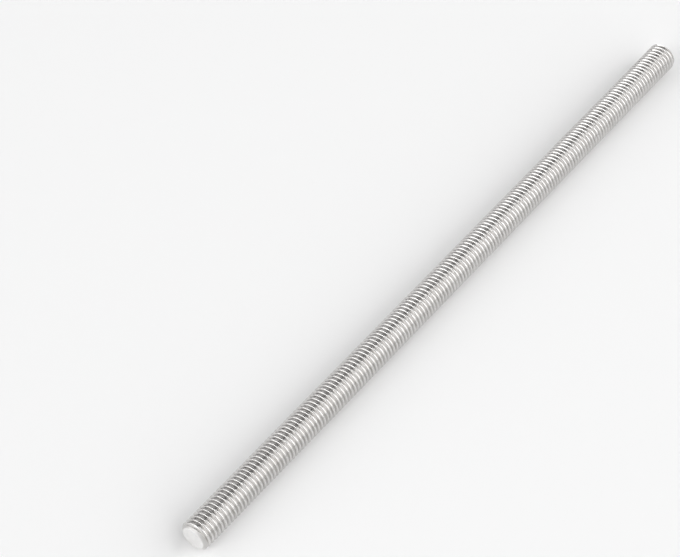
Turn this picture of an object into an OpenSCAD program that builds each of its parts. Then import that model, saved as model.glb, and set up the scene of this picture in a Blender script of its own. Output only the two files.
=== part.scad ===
// Fully threaded metric rod. Its axis is +X, and the origin is on the axis at mid-length.

/* [Rod] */
// Length from end face to end face
rod_length = 250; // [20:5:300]
// Major diameter, over the crests of the thread
major_d = 10; // [6:0.5:20]

/* [Thread] */
// Distance along the axis from one crest to the next
pitch = 1.5; // [1.25:0.25:3]
// Angle between the two flanks of the groove
thread_angle = 60; // [50:1:70]
// Width of the flat on top of the crest, as a share of the pitch
crest_share = 0.125; // [0.1:0.005:0.25]

/* [Ends] */
// Length of the chamfer at each end, along the axis
chamfer_length = 1.2; // [0.4:0.1:2]
// Angle of the chamfer to the axis
chamfer_angle = 45; // [30:1:50]

/* [Facets] */
// Most triangles that the thread is made of
triangle_budget = 12200; // [8000:100:12800]

/* [Hidden] */
major_r = major_d / 2;
half_length = rod_length / 2;
end_r = major_r - chamfer_length * tan(chamfer_angle);
// The blank's ends are true, and its side stays clear of the crests
blank_r = major_r + 1;
blank_side_half = half_length - (blank_r - end_r) / tan(chamfer_angle);

crest_flat = pitch * crest_share;
thread_depth = (pitch - crest_flat) / 2 / tan(thread_angle / 2);
root_r = major_r - thread_depth;

// The helix runs a turn past each end of the rod, and the blank cuts it off
turns = ceil(rod_length / pitch) + 2;
helix_start = -pitch * (turns + 0.5) / 2;
// Each step of the helix has two triangles on the crest and two on each flank
triangles_in_step = 6;
// A multiple of 4 lets the crests reach the full diameter on all four sides
steps_in_turn = 4 * floor(triangle_budget / (4 * triangles_in_step * turns));
last_step = turns * steps_in_turn;

// A point on a helix about Z, raised from the middle of the crest
function helix_point(radius, step, raised) =
    let (turn = step / steps_in_turn)
    [radius * cos(360 * turn), radius * sin(360 * turn), helix_start + pitch * turn + raised];

// The crest's two edges and the root above it, at one step
function thread_section(step) = [
    helix_point(major_r, step, -crest_flat / 2),
    helix_point(major_r, step, crest_flat / 2),
    helix_point(root_r, step, pitch / 2)
];

// Places of those three points in the list of points
function low(step) = 3 * step;
function high(step) = 3 * step + 1;
function root(step) = 3 * step + 2;

// Two triangles between one edge's points a, b and the next edge's points c, d
function strip(a, b, c, d) = [[a, c, b], [b, c, d]];

// The whole thread as one closed solid: crest, flanks, and a cone of triangles at each end
module helical_thread() {
    below = 3 * (last_step + 1);
    above = below + 1;
    points = concat(
        [for (step = [0 : last_step]) each thread_section(step)],
        [helix_point(0, 0, -pitch), helix_point(0, last_step, pitch)]
    );
    crest_and_upper_flank = [
        for (s = [0 : last_step - 1])
            each concat(
                strip(low(s), low(s + 1), high(s), high(s + 1)),
                strip(high(s), high(s + 1), root(s), root(s + 1))
            )
    ];
    lower_flank = [
        for (s = [0 : last_step - steps_in_turn - 1], up = s + steps_in_turn)
            each strip(root(s), root(s + 1), low(up), low(up + 1))
    ];
    one_up = steps_in_turn;
    bottom = concat(
        [for (s = [0 : steps_in_turn - 1]) [below, low(s), low(s + 1)]],
        [[below, low(one_up), root(0)], [below, root(0), high(0)], [below, high(0), low(0)]]
    );
    one_down = last_step - steps_in_turn;
    top = concat(
        [for (s = [one_down : last_step - 1]) [above, root(s + 1), root(s)]],
        [
            [above, root(one_down), low(last_step)],
            [above, low(last_step), high(last_step)],
            [above, high(last_step), root(last_step)]
        ]
    );
    polyhedron(points, concat(crest_and_upper_flank, lower_flank, bottom, top));
}

// The bar before threading, with its end faces and chamfers
module blank() {
    rotate_extrude()
        polygon([
            [0, -half_length],
            [end_r, -half_length],
            [blank_r, -blank_side_half],
            [blank_r, blank_side_half],
            [end_r, half_length],
            [0, half_length]
        ]);
}

module threaded_rod() {
    color("gainsboro")
        rotate([0, 90, 0])
            intersection() {
                blank();
                helical_thread();
            }
}

threaded_rod();
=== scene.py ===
"""Looks for the threaded rod: its rolled metric thread in full detail, lying on a pale floor."""

import math

import bmesh
import bpy
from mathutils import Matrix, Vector


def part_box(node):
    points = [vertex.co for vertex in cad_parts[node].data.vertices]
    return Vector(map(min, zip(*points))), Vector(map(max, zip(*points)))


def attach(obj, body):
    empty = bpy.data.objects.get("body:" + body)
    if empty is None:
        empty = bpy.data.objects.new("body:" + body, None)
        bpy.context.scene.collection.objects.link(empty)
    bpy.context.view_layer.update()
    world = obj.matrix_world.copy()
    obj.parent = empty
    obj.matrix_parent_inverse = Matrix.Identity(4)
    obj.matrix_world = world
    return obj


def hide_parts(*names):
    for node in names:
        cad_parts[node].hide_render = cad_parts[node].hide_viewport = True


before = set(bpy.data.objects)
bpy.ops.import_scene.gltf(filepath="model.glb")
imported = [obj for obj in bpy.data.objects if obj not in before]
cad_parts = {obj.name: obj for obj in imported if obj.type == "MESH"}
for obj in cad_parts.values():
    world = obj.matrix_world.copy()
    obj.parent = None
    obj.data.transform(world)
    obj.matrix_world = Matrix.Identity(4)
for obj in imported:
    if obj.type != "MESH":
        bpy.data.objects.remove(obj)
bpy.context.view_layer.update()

NODE = "threaded_rod"
MM = 0.001
rod_low, rod_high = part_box(NODE)
HALF_LENGTH = (rod_high.x - rod_low.x) / 2
MAJOR_R = (rod_high.z - rod_low.z) / 2

# Metric coarse thread as rolled: 60 degree flanks, rounded crests and roots
PITCH = 1.5 * MM
CREST_FLAT = PITCH / 4              # from flank to flank, before its edges are rounded
FLANK_ANGLE = math.radians(30)      # between a flank and the plane square to the axis
ROOT_ROUND = PITCH / 8
CREST_ROUND = 0.25 * MM             # rolled edge between crest and flank
ROUND_STEPS = 3                     # in each rounded edge of the crest and of the rod's ends
ROOT_STEPS = 4
STEPS_IN_TURN = 40
THREAD_TURN = -0.3                  # turns the thread about the axis, in turns

# Turned ends
CHAMFER = 1.2 * MM                  # along the axis and across it
END_ROUND = 0.3 * MM                # broken edge between end face and chamfer
END_SIDES = 96
SHARP_EDGE = math.radians(35)       # an edge that bends more than this stays crisp

# Finish of the thread. Each pair of colours is what slow changes in the steel run between. The groove pair
# is darker than the crest pair as painted shade down in the thread. Heights are shares of the way from root
# to crest.
ROOT_DEPTH = 0.75 * MM              # below the major radius, where height 0 is
CREST_DEPTH = 0.05 * MM             # and where height 1 is
CREST_STEEL = (0.665, 0.652, 0.64, 1), (0.705, 0.695, 0.685, 1)
# Painted shade: the grooves' steel is darker, standing in for the shade down in the thread
GROOVE_SHADE_STEEL = (0.575, 0.56, 0.546, 1), (0.63, 0.62, 0.61, 1)
GROOVE_SHADE_TOP = 0.55                   # height up to which the steel is all the grooves' painted shade
CREST_BASE = 0.95                   # and from which it is all crest
ROOT_ROUGHNESS = 0.30
CREST_ROUGHNESS = 0.23
LINE_GREY = (0.44, 0.42, 0.40, 1)
LINE_SHARE = 0.08
LINE_DEPTH = 0.002 * MM
LINE_STRENGTH = 0.45
NICK_GREY = (0.52, 0.51, 0.50, 1)
NICK_SHARE = 0.25
NICK_FROM = 0.68                    # values of the nicks' noise where one begins and is whole
NICK_WHOLE = 0.74
NICK_BASE = 0.8                     # height above which nicks are found

# Finish of the turned ends: painted light makes the face paler, and painted shade makes the chamfer greyer
LIT_FACE_STEEL = (0.80, 0.793, 0.787, 1), (0.89, 0.884, 0.878, 1)
SHADED_CHAMFER_STEEL = (0.66, 0.65, 0.64, 1), (0.58, 0.57, 0.56, 1)
# Where the face's painted light gives way to the chamfer's painted shade
FACE_ENDS = -0.15 * MM              # from the chamfer's inner edge, outward
CHAMFER_BEGINS = 0.3 * MM
TURNED_ROUGHNESS = 0.56, 0.64
RING_GREY = (0.58, 0.57, 0.56, 1)
RING_SHARE = 0.2
RING_DEPTH = 0.004 * MM
RING_STRENGTH = 0.6
RING_WAVER = 0.08 * MM

# Scales of noise, per metre
CLOUD_SCALE = 90.0
WAVER_SCALE = 260.0
FACE_CLOUD_SCALE = 420.0
NICK_SCALE = 900.0
RING_SCALE = 9000.0
GRAIN_SCALE = 9000.0
# Scales of noise that is laid out by the thread's phase and turns
LINE_SCALE = 7.0
LINE_TURNS = 0.5
WANDER_SCALE = 0.6
WANDER_ACROSS = 0.3

# Camera: a long lens over the near end, looking along and down on the rod
LENS = 125.1                        # mm, on a 36 mm sensor
HEADING = math.radians(37.78)       # from the rod's axis, anticlockwise seen from above
LOOK_DOWN = math.radians(50.08)     # below level
NEAR_END_DEPTH = 681.1 * MM         # from the camera to the near end, along the view
NEAR_END_RIGHT = -0.0623            # the near end's place in the view, as shares of that depth
NEAR_END_UP = -0.1101

# Studio
PANEL_DISTANCE = 4.0                # from the origin to each soft panel
FLOOR_R = 3.6                       # inside the ring of panels, so that all of it is lit
FLOOR_SIDES = 128
FLOOR_WHITE = 0.94
FLOOR_ROUGHNESS = 0.8
FLOOR_SPECULAR = 0.2
FILL = 0.04                         # faint light from all round


def arc(centre, radius, start, end, steps):
    """Points (along, radial) on an arc, its angles measured from the outward direction towards +X."""
    angles = [start + (end - start) * i / steps for i in range(steps + 1)]
    return [(centre[0] + radius * math.sin(a), centre[1] + radius * math.cos(a)) for a in angles]


def thread_profile():
    """One pitch of the thread's section, from a crest's left edge to the root's end.

    The points are (along, radial), and the crest's middle is at 0 along.
    """
    flank_turn = math.pi / 2 - FLANK_ANGLE
    # Arc centres, from tangency to the crest's flat and to both flanks
    edge_x = CREST_FLAT / 2 - CREST_ROUND * math.tan(flank_turn / 2)
    right_edge = arc((edge_x, MAJOR_R - CREST_ROUND), CREST_ROUND, 0, flank_turn, ROUND_STEPS)
    left_edge = [(-x, r) for x, r in reversed(right_edge)]
    sharp_root = MAJOR_R - (PITCH - CREST_FLAT) / 2 / math.tan(FLANK_ANGLE)
    root_centre = (PITCH / 2, sharp_root + ROOT_ROUND / math.sin(FLANK_ANGLE))
    root = arc(root_centre, ROOT_ROUND, math.pi + flank_turn, math.pi - flank_turn, ROOT_STEPS)
    return left_edge + right_edge + root


def new_object(name, mesh):
    piece = bpy.data.objects.new(name, mesh)
    bpy.context.scene.collection.objects.link(piece)
    return piece


def solid(name, bm):
    """Turns a closed bmesh into an object with its faces outward, and frees it."""
    bmesh.ops.recalc_face_normals(bm, faces=bm.faces)
    mesh = bpy.data.meshes.new(name)
    bm.to_mesh(mesh)
    bm.free()
    return new_object(name, mesh)


def fan(bm, tip, loop):
    for a, b in zip(loop, loop[1:] + loop[:1]):
        bm.faces.new((tip, a, b))


def helical_thread():
    """The thread as one closed solid along X, running past both ends of the rod."""
    profile = thread_profile()
    turns = math.ceil(2 * HALF_LENGTH / PITCH) + 2
    start = -PITCH * turns / 2
    bm = bmesh.new()
    rows = []
    for step in range(turns * STEPS_IN_TURN + 1):
        turn = step / STEPS_IN_TURN
        angle = 2 * math.pi * (turn + THREAD_TURN)
        rows.append([
            bm.verts.new((start + PITCH * turn + x, -r * math.sin(angle), r * math.cos(angle)))
            for x, r in profile
        ])
    for here, there in zip(rows, rows[1:]):
        for i in range(len(profile) - 1):
            bm.faces.new((here[i], there[i], there[i + 1], here[i + 1]))
    # Each row's last point closes on the first point of the row one turn on
    closing = list(zip(rows, rows[STEPS_IN_TURN:]))
    for (here, above), (there, next_above) in zip(closing, closing[1:]):
        bm.faces.new((here[-1], there[-1], next_above[0], above[0]))
    # A fan from a point on the axis closes each end, round one turn and back along its last row
    low = bm.verts.new((start - PITCH, 0, 0))
    high = bm.verts.new((start + PITCH * (turns + 1), 0, 0))
    first_turn = rows[:STEPS_IN_TURN + 1]
    last_turn = rows[-STEPS_IN_TURN - 1:]
    fan(bm, low, [row[0] for row in first_turn] + rows[0][:0:-1])
    fan(bm, high, [row[-1] for row in last_turn] + rows[-1][-2::-1])
    return solid("helical_thread", bm)


def turned_blank():
    """The bar that the thread is cut from, as a solid of revolution: flat ends, broken edges, chamfers."""
    end_r = MAJOR_R - CHAMFER
    # The arc touches the face at right angles to the axis and the chamfer at 45 degrees
    edge_centre = (HALF_LENGTH - END_ROUND, end_r - END_ROUND * math.tan(math.pi / 8))
    edge = arc(edge_centre, END_ROUND, math.pi / 2, math.pi / 4, ROUND_STEPS)
    # Both chamfers run on past the thread's crest, and a wider bar joins them
    right_end = edge + [(HALF_LENGTH - 2 * CHAMFER, MAJOR_R + CHAMFER)]
    outline = [(-x, r) for x, r in right_end] + list(reversed(right_end))
    angles = [2 * math.pi * i / END_SIDES for i in range(END_SIDES)]
    bm = bmesh.new()
    rings = [
        [bm.verts.new((x, r * math.cos(a), r * math.sin(a))) for a in angles]
        for x, r in outline
    ]
    for left, right in zip(rings, rings[1:]):
        for i in range(END_SIDES):
            j = (i + 1) % END_SIDES
            bm.faces.new((left[i], left[j], right[j], right[i]))
    bm.faces.new(rings[0])
    bm.faces.new(rings[-1])
    return solid("turned_blank", bm)


def threaded_piece(rolled, turned):
    """The whole rod: the helical thread cut to the blank, with crisp cut edges and smooth rolled ones."""
    rod = helical_thread()
    rod.data.materials.append(rolled)
    blank = turned_blank()
    blank.data.materials.append(turned)
    cut = rod.modifiers.new("cut", "BOOLEAN")
    cut.operation = "INTERSECT"
    cut.solver = "MANIFOLD"
    cut.object = blank
    cut.material_mode = "TRANSFER"
    made = bpy.data.meshes.new_from_object(rod.evaluated_get(bpy.context.evaluated_depsgraph_get()))
    bpy.data.objects.remove(rod)
    bpy.data.objects.remove(blank)
    made.shade_smooth()
    made.set_sharp_from_angle(angle=SHARP_EDGE)
    piece = new_object("rolled_thread_rod", made)
    weights = piece.modifiers.new("weights", "WEIGHTED_NORMAL")
    weights.keep_sharp = True
    return piece


def place_camera():
    """Stands the camera so that the near end of the rod falls where the view needs it."""
    forward = Vector((math.cos(LOOK_DOWN) * math.cos(HEADING),
                      math.cos(LOOK_DOWN) * math.sin(HEADING),
                      -math.sin(LOOK_DOWN)))
    right = Vector((math.sin(HEADING), -math.cos(HEADING), 0))
    up = right.cross(forward)
    camera = new_object("camera", bpy.data.cameras.new("camera"))
    near_end = Vector((-HALF_LENGTH, 0, 0))
    offset = forward + right * NEAR_END_RIGHT + up * NEAR_END_UP
    camera.location = near_end - offset * NEAR_END_DEPTH
    camera.rotation_euler = forward.to_track_quat("-Z", "Y").to_euler()
    camera.data.lens = LENS
    bpy.context.scene.camera = camera


class Nodes:
    """Short ways to build a material's node tree."""

    def __init__(self, name):
        self.material = bpy.data.materials.new(name)
        self.material.use_nodes = True
        self.tree = self.material.node_tree
        self.shader = self.tree.nodes["Principled BSDF"]

    def link(self, source, target):
        """Joins an output to an input, or sets the input to a plain value."""
        if isinstance(source, bpy.types.NodeSocket):
            self.tree.links.new(source, target)
        else:
            target.default_value = source

    def math(self, operation, a, b=0.0):
        node = self.tree.nodes.new("ShaderNodeMath")
        node.operation = operation
        self.link(a, node.inputs[0])
        self.link(b, node.inputs[1])
        return node.outputs[0]

    def vector(self, x, y, z):
        node = self.tree.nodes.new("ShaderNodeCombineXYZ")
        for value, socket in zip((x, y, z), node.inputs):
            self.link(value, socket)
        return node.outputs[0]

    def place(self):
        """The point's x, y and z on the rod, in metres."""
        coordinates = self.tree.nodes.new("ShaderNodeTexCoord")
        split = self.tree.nodes.new("ShaderNodeSeparateXYZ")
        self.link(coordinates.outputs["Object"], split.inputs[0])
        return split.outputs

    def radius(self, y, z):
        """The point's distance from the rod's axis."""
        squares = self.math("ADD", self.math("MULTIPLY", y, y), self.math("MULTIPLY", z, z))
        return self.math("SQRT", squares)

    def noise(self, vector, scale, detail=2.0, roughness=0.5):
        node = self.tree.nodes.new("ShaderNodeTexNoise")
        self.link(vector, node.inputs["Vector"])
        node.inputs["Scale"].default_value = scale
        node.inputs["Detail"].default_value = detail
        node.inputs["Roughness"].default_value = roughness
        return node.outputs["Fac"]

    def fit(self, value, from_low, from_high, to_low, to_high, smooth=False):
        """Maps a value from one range onto another, held at both ends."""
        node = self.tree.nodes.new("ShaderNodeMapRange")
        node.interpolation_type = "SMOOTHSTEP" if smooth else "LINEAR"
        for socket, given in zip(node.inputs, (value, from_low, from_high, to_low, to_high)):
            self.link(given, socket)
        return node.outputs[0]

    def spread(self, noise, low=0.0, high=1.0):
        """Maps the range that most of a noise falls in onto another."""
        return self.fit(noise, 0.3, 0.7, low, high)

    def peaks(self, noise):
        """0 up to the middle of a noise, and 1 at its peaks."""
        return self.fit(noise, 0.5, 0.8, 0.0, 1.0)

    def mix(self, share, a, b):
        node = self.tree.nodes.new("ShaderNodeMix")
        node.data_type = "RGBA"
        self.link(share, node.inputs["Factor"])
        self.link(a, node.inputs["A"])
        self.link(b, node.inputs["B"])
        return node.outputs["Result"]

    def bump(self, height, distance, strength):
        """Gives the shader its fine relief."""
        node = self.tree.nodes.new("ShaderNodeBump")
        node.inputs["Strength"].default_value = strength
        node.inputs["Distance"].default_value = distance
        self.link(height, node.inputs["Height"])
        self.link(node.outputs["Normal"], self.shader.inputs["Normal"])

    def metal(self, colour, roughness):
        """Makes the shader a bare metal, and returns the finished material."""
        self.link(colour, self.shader.inputs["Base Color"])
        self.link(roughness, self.shader.inputs["Roughness"])
        self.shader.inputs["Metallic"].default_value = 1.0
        return self.material


def rolled_steel():
    """Bright rolled stainless: painted shade darkening the grooves below the crests, fine lines along the
    thread, few nicks.
    """
    n = Nodes("rolled_steel")
    x, y, z = n.place()
    position = n.vector(x, y, z)
    height = n.fit(n.radius(y, z), MAJOR_R - ROOT_DEPTH, MAJOR_R - CREST_DEPTH, 0.0, 1.0)
    # Where the point is across the thread's profile, as an angle that keeps its value along the helix
    around = n.math("ARCTAN2", n.math("MULTIPLY", y, -1.0), z)
    phase = n.math("SUBTRACT", n.math("MULTIPLY", x, 2 * math.pi / PITCH), around)
    cosine = n.math("COSINE", phase)
    sine = n.math("SINE", phase)
    turn = n.math("MULTIPLY", x, 1.0 / PITCH)
    # Rolling lines: fine across the profile, some millimetres long along the helix
    lines = n.noise(n.vector(cosine, sine, n.math("MULTIPLY", turn, LINE_TURNS)), LINE_SCALE, 3.0, 0.6)
    # Slow changes from turn to turn, as the dies bite a little more or less
    across = [n.math("MULTIPLY", part, WANDER_ACROSS) for part in (cosine, sine)]
    wander = n.noise(n.vector(*across, turn), WANDER_SCALE)
    cloud = n.noise(position, CLOUD_SCALE, 3.0)
    grain = n.noise(position, GRAIN_SCALE)
    # Handling marks: sparse small nicks on the crests
    nicks = n.noise(position, NICK_SCALE, 2.0, 0.6)
    nicks = n.fit(nicks, NICK_FROM, NICK_WHOLE, 0.0, 1.0, smooth=True)
    nicks = n.math("MULTIPLY", nicks, n.fit(height, NICK_BASE, 1.0, 0.0, 1.0))

    crest = n.mix(n.spread(cloud), *CREST_STEEL)
    # Painted shade: the groove steel, darker than the crest steel, fills the thread below the crests
    groove_shade = n.mix(n.spread(wander), *GROOVE_SHADE_STEEL)
    colour = n.mix(n.fit(height, GROOVE_SHADE_TOP, CREST_BASE, 0.0, 1.0, smooth=True), groove_shade, crest)
    colour = n.mix(n.math("MULTIPLY", n.peaks(lines), LINE_SHARE), colour, LINE_GREY)
    colour = n.mix(n.math("MULTIPLY", nicks, NICK_SHARE), colour, NICK_GREY)

    roughness = n.fit(height, 0.0, 1.0, ROOT_ROUGHNESS, CREST_ROUGHNESS)
    roughness = n.math("ADD", roughness, n.spread(lines, -0.015, 0.02))
    roughness = n.math("ADD", roughness, n.spread(wander, -0.015, 0.02))
    roughness = n.math("ADD", roughness, n.math("MULTIPLY", nicks, 0.08))

    # Lines stand up, with a little grain on them, and nicks are dents
    relief = n.math("ADD", lines, n.math("MULTIPLY", grain, 0.06))
    relief = n.math("SUBTRACT", relief, n.math("MULTIPLY", nicks, 0.6))
    n.bump(relief, LINE_DEPTH, LINE_STRENGTH)
    return n.metal(colour, roughness)


def turned_steel():
    """Cut ends, duller than the thread: a face painted pale as painted light, a chamfer painted greyer as
    painted shade, and fine rings from the tool.
    """
    n = Nodes("turned_steel")
    x, y, z = n.place()
    position = n.vector(x, y, z)
    radius = n.radius(y, z)
    # The tool's rings run round the axis on the face and on the chamfer alike, and waver a little
    waver = n.math("MULTIPLY", n.noise(position, WAVER_SCALE, 1.0), RING_WAVER)
    across = n.math("ADD", n.math("ADD", radius, x), waver)
    rings = n.noise(n.vector(n.math("MULTIPLY", across, RING_SCALE), 0.0, 0.0), 1.0, 3.0, 0.7)
    cloud = n.noise(position, FACE_CLOUD_SCALE, 3.0, 0.6)
    grain = n.noise(position, GRAIN_SCALE)

    # Painted light on the face and painted shade on the chamfer: lit and shaded copies of the turned steel
    lit_face = n.mix(n.spread(cloud), *LIT_FACE_STEEL)
    lit_face = n.mix(n.math("MULTIPLY", n.peaks(rings), RING_SHARE), lit_face, RING_GREY)
    shaded_chamfer = n.mix(n.spread(rings), *SHADED_CHAMFER_STEEL)
    edge_r = MAJOR_R - CHAMFER
    on_shaded_chamfer = n.fit(radius, edge_r + FACE_ENDS, edge_r + CHAMFER_BEGINS, 0.0, 1.0, smooth=True)
    colour = n.mix(on_shaded_chamfer, lit_face, shaded_chamfer)
    roughness = n.math("ADD", n.spread(rings, *TURNED_ROUGHNESS), n.spread(cloud, -0.03, 0.04))
    n.bump(n.math("ADD", rings, n.math("MULTIPLY", grain, 0.1)), RING_DEPTH, RING_STRENGTH)
    return n.metal(colour, roughness)


def pale_floor():
    """A round, nearly white floor that the rod lies on."""
    bpy.ops.mesh.primitive_circle_add(vertices=FLOOR_SIDES, radius=FLOOR_R, fill_type="NGON",
                                      location=(0, 0, rod_low.z))
    made = bpy.context.object
    made.name = "floor"
    white = Nodes("floor_white")
    white.shader.inputs["Base Color"].default_value = (FLOOR_WHITE, FLOOR_WHITE, FLOOR_WHITE, 1)
    white.shader.inputs["Roughness"].default_value = FLOOR_ROUGHNESS
    white.shader.inputs["Specular IOR Level"].default_value = FLOOR_SPECULAR
    made.data.materials.append(white.material)
    return made


def softbox(name, azimuth, elevation, width, height, radiance):
    """A soft panel that faces the rod.

    It stands at an azimuth from +X, anticlockwise, and an elevation, and looks so many degrees wide and
    high from the rod.
    """
    a, e = math.radians(azimuth), math.radians(elevation)
    towards = Vector((math.cos(e) * math.cos(a), math.cos(e) * math.sin(a), math.sin(e)))
    panel = bpy.data.lights.new(name, "AREA")
    panel.shape = "RECTANGLE"
    panel.size = 2 * PANEL_DISTANCE * math.tan(math.radians(width / 2))
    panel.size_y = 2 * PANEL_DISTANCE * math.tan(math.radians(height / 2))
    panel.energy = radiance * math.pi * panel.size * panel.size_y
    light = new_object(name, panel)
    light.location = towards * PANEL_DISTANCE
    light.rotation_euler = towards.to_track_quat("Z", "Y").to_euler()
    light.visible_camera = False


def pale_surroundings():
    """A faint fill from all round, in front of a pale backdrop that only the camera sees."""
    world = bpy.data.worlds.new("studio")
    world.use_nodes = True
    tree = world.node_tree
    fill = tree.nodes["Background"]
    fill.inputs["Color"].default_value = (1, 1, 1, 1)
    fill.inputs["Strength"].default_value = FILL
    backdrop = tree.nodes.new("ShaderNodeBackground")
    backdrop.inputs["Color"].default_value = (1, 1, 1, 1)
    seen = tree.nodes.new("ShaderNodeLightPath")
    either = tree.nodes.new("ShaderNodeMixShader")
    tree.links.new(seen.outputs["Is Camera Ray"], either.inputs["Fac"])
    tree.links.new(fill.outputs[0], either.inputs[1])
    tree.links.new(backdrop.outputs[0], either.inputs[2])
    tree.links.new(either.outputs[0], tree.nodes["World Output"].inputs["Surface"])
    bpy.context.scene.world = world


place_camera()
rod = threaded_piece(rolled_steel(), turned_steel())
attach(rod, "root")
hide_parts(NODE)

floor = pale_floor()
# Panels: azimuth, elevation, width and height in degrees, then radiance
softbox("left_key", 170, 36, 26, 18, 4.0)
softbox("left_fill", 150, 25, 80, 34, 1.4)
softbox("left_low", 165, 8, 60, 12, 2.6)
softbox("front", 280, 30, 84, 50, 1.7)
softbox("right_low", 340, 13, 44, 20, 2.5)
softbox("right_fill", 340, 38, 44, 26, 0.9)
softbox("right_high", 328, 60, 44, 16, 2.45)
softbox("overhead", 250, 78, 60, 22, 0.4)
softbox("high_back", 115, 58, 44, 30, 0.72)
softbox("back_fill", 70, 38, 56, 36, 0.55)
pale_surroundings()
bpy.context.scene.view_settings.view_transform = "Standard"
